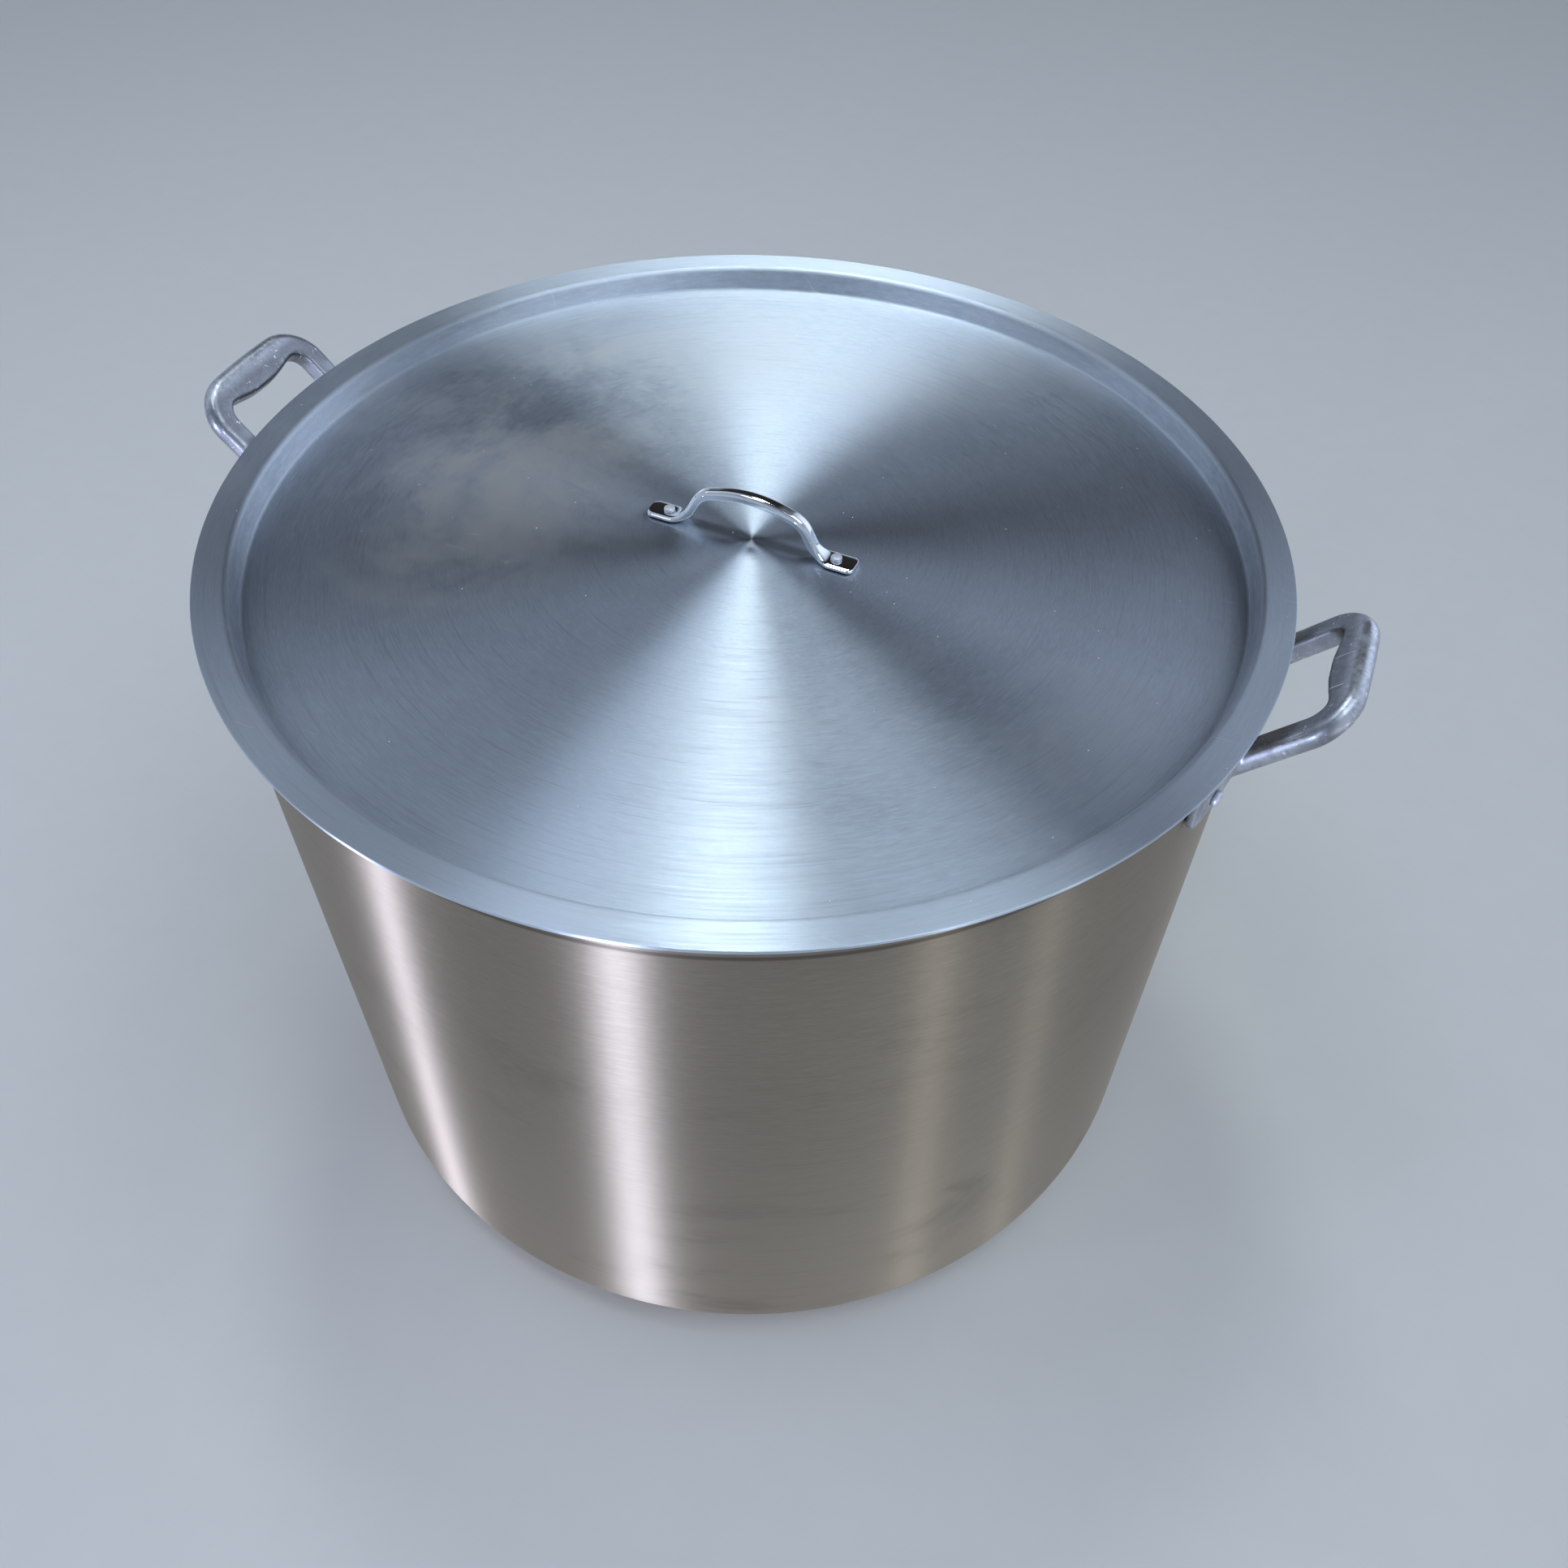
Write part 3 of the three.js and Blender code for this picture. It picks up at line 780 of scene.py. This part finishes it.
class COOKWARE_OT_side_handles(PieceOperator, bpy.types.Operator):
    """Cast the two loop handles: bar with a palm swell, and two feet that fit the wall"""

    bl_idname = "cookware.side_handles"
    bl_label = "Side handles"

    def execute(self, context):
        size = context.scene.handle_sizes
        metal = cast_metal(context.scene.pot_finishes)
        bm = bmesh.new()
        self.cast_bar(bm, size)
        for side in (-1, 1):
            self.cast_foot(bm, size, side)
        self.blend_casting(bm, size)
        for side, turn in (("right", 0), ("left", math.pi)):
            copy = bm.copy()
            swing = Matrix.Rotation(turn, 3, "Z")
            bmesh.ops.rotate(copy, verts=copy.verts[:], cent=(0, 0, 0), matrix=swing)
            add_piece(f"cast_handle_{side}", copy, metal, "pot", [f"{side}_handle"])
        bm.free()
        return {"FINISHED"}

    @staticmethod
    def cast_bar(bm, size):
        """The bar of the loop, drawn flat from one leg to the other, then tilted up from the wall."""
        wall_angle = size.leg_offset / POT_HIGH.x
        root = Vector((POT_HIGH.x * math.cos(wall_angle), POT_HIGH.z - size.leg_drop))
        grip = Vector((LID_HIGH.x + size.grip_standoff, POT_HIGH.z + size.grip_rise))
        leg = grip - root
        wide, thick = size.bar_width / 2, size.bar_thickness / 2
        rounded_wire(
            bm,
            [
                (-wide, -thick, 4.6 * MM),
                (wide, -thick, 2.8 * MM),
                (wide, thick, 2.2 * MM),
                (-wide, thick, 4.8 * MM),
            ],
            closed=True,
            segments=5,
        )
        # Stands the section across the first leg: its x to the loop's inside, its z along the thickness.
        bmesh.ops.rotate(bm, verts=bm.verts[:], cent=(0, 0, 0), matrix=Matrix.Rotation(math.pi / 2, 3, "Z"))
        straight = leg.length - size.corner
        across = 2 * (size.leg_offset - size.corner)
        quarter = math.pi / 2
        draw_bar(
            bm,
            [
                (straight, 0, 8),
                (size.corner, quarter, 12),
                (across, 0, 40),
                (size.corner, quarter, 12),
                (straight, 0, 8),
            ],
        )
        close_ends(bm)
        bmesh.ops.translate(bm, verts=bm.verts[:], vec=(0, -size.leg_offset, 0))
        for vert in bm.verts:
            if vert.co.x > straight:
                inward = 0.5 + (leg.length - vert.co.x) / size.bar_width
                hump = 1 - ease(abs(vert.co.y), 0.1 * size.swell_half_length, size.swell_half_length)
                arch = 1 - (vert.co.y / size.leg_offset) ** 2
                vert.co.x += arch * (1 - inward) * size.bow - hump * inward * size.swell
        tilt = Matrix.Rotation(-math.atan2(leg.y, leg.x), 3, "Y")
        bmesh.ops.rotate(bm, verts=bm.verts[:], cent=(0, 0, 0), matrix=tilt)
        bmesh.ops.translate(bm, verts=bm.verts[:], vec=(root.x, 0, root.y))
        for side in (-1, 1):
            outwards = Vector((math.cos(wall_angle), side * math.sin(wall_angle), 0))
            # Only the wall's half of the bar is cut off by each plane.
            geom = [part for part in bm.verts[:] + bm.edges[:] + bm.faces[:] if near_side(part, side)]
            bmesh.ops.bisect_plane(
                bm,
                geom=geom,
                plane_co=outwards * (POT_HIGH.x + size.gap + 1 * MM),
                plane_no=outwards,
                clear_inner=True,
            )
        close_ends(bm)

    @staticmethod
    def cast_foot(bm, size, side):
        """Adds a block with broken edges, bent round the wall."""
        start, end = size.inner_rivet - size.inner_margin, size.outer_rivet + size.outer_margin
        foot = bmesh.new()
        bmesh.ops.create_cube(foot, size=1)
        bmesh.ops.scale(foot, verts=foot.verts[:], vec=(size.foot_thickness, end - start, size.foot_height))
        bmesh.ops.bevel(
            foot,
            geom=foot.edges[:],
            offset=0.9 * MM,
            offset_type="OFFSET",
            segments=2,
            profile=0.5,
            affect="EDGES",
            material=-1,
        )
        long_edges = [edge for edge in foot.edges if edge.calc_length() > (end - start) / 2]
        bmesh.ops.subdivide_edges(foot, edges=long_edges, cuts=20, use_grid_fill=True)
        radius = POT_HIGH.x + size.gap + size.foot_thickness / 2
        for vert in foot.verts:
            turn = side * ((start + end) / 2 + vert.co.y) / POT_HIGH.x
            reach = radius + vert.co.x
            height = POT_HIGH.z - size.foot_drop + vert.co.z
            vert.co = (reach * math.cos(turn), reach * math.sin(turn), height)
        bmesh.ops.recalc_face_normals(foot, faces=foot.faces[:])
        draft = bpy.data.meshes.new("foot")
        foot.to_mesh(draft)
        foot.free()
        bm.from_mesh(draft)
        bpy.data.meshes.remove(draft)

    @staticmethod
    def blend_casting(bm, size):
        """Joins the bar and the feet into one casting with soft inner corners."""
        mesh = bpy.data.meshes.new("casting")
        bm.to_mesh(mesh)
        draft = bpy.data.objects.new("casting", mesh)
        bpy.context.scene.collection.objects.link(draft)
        remesh = draft.modifiers.new("remesh", "REMESH")
        remesh.mode = "VOXEL"
        remesh.voxel_size = size.grain
        graph = bpy.context.evaluated_depsgraph_get()
        blended = bpy.data.meshes.new_from_object(draft.evaluated_get(graph))
        bm.clear()
        bm.from_mesh(blended)
        bpy.data.objects.remove(draft)
        bpy.data.meshes.remove(blended)
        for _ in range(4):
            bmesh.ops.smooth_vert(
                bm, verts=bm.verts[:], factor=0.5, use_axis_x=True, use_axis_y=True, use_axis_z=True
            )


def near_side(part, side):
    """Whether any of the part lies on the given side of the handle's middle."""
    verts = [part] if isinstance(part, bmesh.types.BMVert) else part.verts
    return any(vert.co.y * side > 0 for vert in verts)


def spin_rivet(shank, head, head_height, tail, tail_height, grip):
    """A rivet along Z, its tail below 0 and its head above its grip."""
    bm = bmesh.new()
    rounded_wire(
        bm,
        [
            (0, -tail_height, 0),
            (tail * 0.8, -tail_height, tail_height * 0.5),
            (tail, 0, 0),
            (shank, 0, 0),
            (shank, grip, 0),
            (head, grip, 0),
            (head, grip + head_height, head_height * 0.55),
            (0, grip + head_height, 0),
        ],
        segments=8,
    )
    turn_wire(bm, 48)
    return bm


class COOKWARE_OT_side_rivets(PieceOperator, bpy.types.Operator):
    """Set the four rivets of each side handle"""

    bl_idname = "cookware.side_rivets"
    bl_label = "Side rivets"

    def execute(self, context):
        size, handle = context.scene.rivet_sizes, context.scene.handle_sizes
        wall = context.scene.pot_sizes.wall
        metal = rivet_metal(context.scene.pot_finishes)
        offsets = (-handle.outer_rivet, -handle.inner_rivet, handle.inner_rivet, handle.outer_rivet)
        for side, turn in (("right", 0), ("left", math.pi)):
            for number, offset in enumerate(offsets, 1):
                bm = spin_rivet(
                    size.side_shank,
                    size.side_head,
                    size.side_head_height,
                    size.side_tail,
                    size.side_tail_height,
                    wall + handle.foot_thickness + 3 * handle.gap,
                )
                lay = Matrix.Rotation(math.pi / 2, 4, "Y")
                place = Matrix.Translation(
                    (POT_HIGH.x - wall - handle.gap, 0, POT_HIGH.z - handle.foot_drop)
                )
                swing = Matrix.Rotation(turn + offset / POT_HIGH.x, 4, "Z")
                bmesh.ops.transform(bm, matrix=swing @ place @ lay, verts=bm.verts[:])
                name = f"{side}_handle_rivet_{number}"
                add_piece(f"set_{name}", bm, metal, "pot", [name])
        return {"FINISHED"}


class COOKWARE_OT_lid_pull(PieceOperator, bpy.types.Operator):
    """Bend the chrome pull and flatten its feet"""

    bl_idname = "cookware.lid_pull"
    bl_label = "Lid pull"

    def execute(self, context):
        size, lid = context.scene.pull_sizes, context.scene.lid_sizes
        wide, thick = size.bar_width / 2, size.bar_thickness / 2
        bm = bmesh.new()
        rounded_wire(
            bm,
            [
                (-wide, -thick, 1.6 * MM),
                (wide, -thick, 1.6 * MM),
                (wide, thick, 2.6 * MM),
                (-wide, thick, 2.6 * MM),
            ],
            closed=True,
            segments=10,
        )
        # The section stands across +X with its crown to the left, where the bar bends.
        stand = Matrix.Rotation(math.pi / 2, 3, "Z") @ Matrix.Rotation(math.pi / 2, 3, "Y")
        bmesh.ops.rotate(bm, verts=bm.verts[:], cent=(0, 0, 0), matrix=stand)
        foot = size.rivet_span / 2 - size.bend_inset
        end = size.rivet_span / 2 + size.end_margin
        shoulder = foot - size.leg_lean
        climb = math.atan2(size.shoulder_rise, size.leg_lean)
        ramp = math.atan2(size.crest_rise - size.shoulder_rise, shoulder)
        leg = math.hypot(size.shoulder_rise, size.leg_lean) - 2 * size.bend
        brow = math.hypot(size.crest_rise - size.shoulder_rise, shoulder) - size.bend - size.crest_bend
        half = [
            (size.foot_width / 4, 0, 24),
            (end - foot - size.bend - size.foot_width / 4, 0, 24),
            (size.bend / math.tan(climb / 2), climb, 24),
            (leg, 0, 10),
            (size.bend / math.tan((climb - ramp) / 2), ramp - climb, 24),
            (max(brow, 0.2 * MM), 0, 4),
            (size.crest_bend / math.tan(ramp), -ramp, 40),
        ]
        draw_bar(bm, half + half[::-1])
        close_ends(bm)
        # The bar was drawn lying on its side, from its right foot; this stands it up and centres it.
        upright = Matrix.Rotation(math.pi / 2, 3, "X")
        bmesh.ops.rotate(bm, verts=bm.verts[:], cent=(0, 0, 0), matrix=upright)
        bmesh.ops.translate(bm, verts=bm.verts[:], vec=(-end, 0, thick))
        for vert in bm.verts:
            self.flatten(vert, size, foot, end)
        lift = LID_HIGH.z - lid.recess + context.scene.handle_sizes.gap
        place = Matrix.Rotation(lid.turn, 4, "Z") @ Matrix.Translation((0, 0, lift))
        bmesh.ops.transform(bm, matrix=place, verts=bm.verts[:])
        bmesh.ops.recalc_face_normals(bm, faces=bm.faces[:])
        metal = chrome_metal(context.scene.pot_finishes)
        add_piece("chrome_pull", bm, metal, "lid", ["lid_pull"])
        return {"FINISHED"}

    @staticmethod
    def flatten(vert, size, foot, end):
        """Presses the bar flat and wide towards its feet, and rounds their ends."""
        reach = abs(vert.co.x)
        flat = ease(reach, foot - 1 * MM, foot + 8 * MM)
        width = 1 + flat * (size.foot_width / size.bar_width - 1)
        corner = size.foot_width / 4
        tip = min(1.0, max(0.0, (reach - (end - corner)) / corner))
        vert.co.y *= width * (0.5 + 0.5 * math.sqrt(1 - tip * tip))
        vert.co.z *= 1 + flat * (size.foot_thickness / size.bar_thickness - 1)


class COOKWARE_OT_lid_rivets(PieceOperator, bpy.types.Operator):
    """Set the two rivets of the pull"""

    bl_idname = "cookware.lid_rivets"
    bl_label = "Lid rivets"

    def execute(self, context):
        size, lid, pull = context.scene.rivet_sizes, context.scene.lid_sizes, context.scene.pull_sizes
        metal = rivet_metal(context.scene.pot_finishes)
        gap = context.scene.handle_sizes.gap
        under = LID_HIGH.z - lid.recess - lid.sheet - gap
        for side, sign in (("right", 1), ("left", -1)):
            bm = spin_rivet(
                size.lid_shank,
                size.lid_head,
                size.lid_head_height,
                size.lid_tail,
                size.lid_tail_height,
                lid.sheet + pull.foot_thickness + 3 * gap,
            )
            swing = Matrix.Rotation(lid.turn, 4, "Z")
            place = Matrix.Translation((sign * pull.rivet_span / 2, 0, under))
            bmesh.ops.transform(bm, matrix=swing @ place, verts=bm.verts[:])
            name = f"lid_pull_rivet_{side}"
            add_piece(f"set_{name}", bm, metal, "lid", [name])
        return {"FINISHED"}


class COOKWARE_PT_panel(bpy.types.Panel):
    """Buttons for the stage and each group of pieces"""

    bl_label = "Stock pot"
    bl_idname = "COOKWARE_PT_panel"
    bl_space_type = "VIEW_3D"
    bl_region_type = "UI"
    bl_category = "Stock pot"

    def draw(self, context):
        column = self.layout.column(align=True)
        for operator in OPERATORS:
            column.operator(operator.bl_idname)


GROUPS = {
    "pot_sizes": PotSizes,
    "lid_sizes": LidSizes,
    "pull_sizes": PullSizes,
    "handle_sizes": HandleSizes,
    "rivet_sizes": RivetSizes,
    "pot_finishes": Finishes,
    "pot_stage": StageSizes,
}
OPERATORS = (
    COOKWARE_OT_stage,
    COOKWARE_OT_pot,
    COOKWARE_OT_lid,
    COOKWARE_OT_side_handles,
    COOKWARE_OT_side_rivets,
    COOKWARE_OT_lid_pull,
    COOKWARE_OT_lid_rivets,
)


def register():
    for group in (*GROUPS.values(), *OPERATORS, COOKWARE_PT_panel):
        bpy.utils.register_class(group)
    for name, group in GROUPS.items():
        setattr(bpy.types.Scene, name, PointerProperty(type=group))


def unregister():
    for name in GROUPS:
        delattr(bpy.types.Scene, name)
    for group in (COOKWARE_PT_panel, *reversed(OPERATORS), *reversed(GROUPS.values())):
        bpy.utils.unregister_class(group)


def main():
    register()
    for operator in OPERATORS:
        getattr(bpy.ops.cookware, operator.bl_idname.split(".")[1])()


if __name__ == "__main__":
    main()
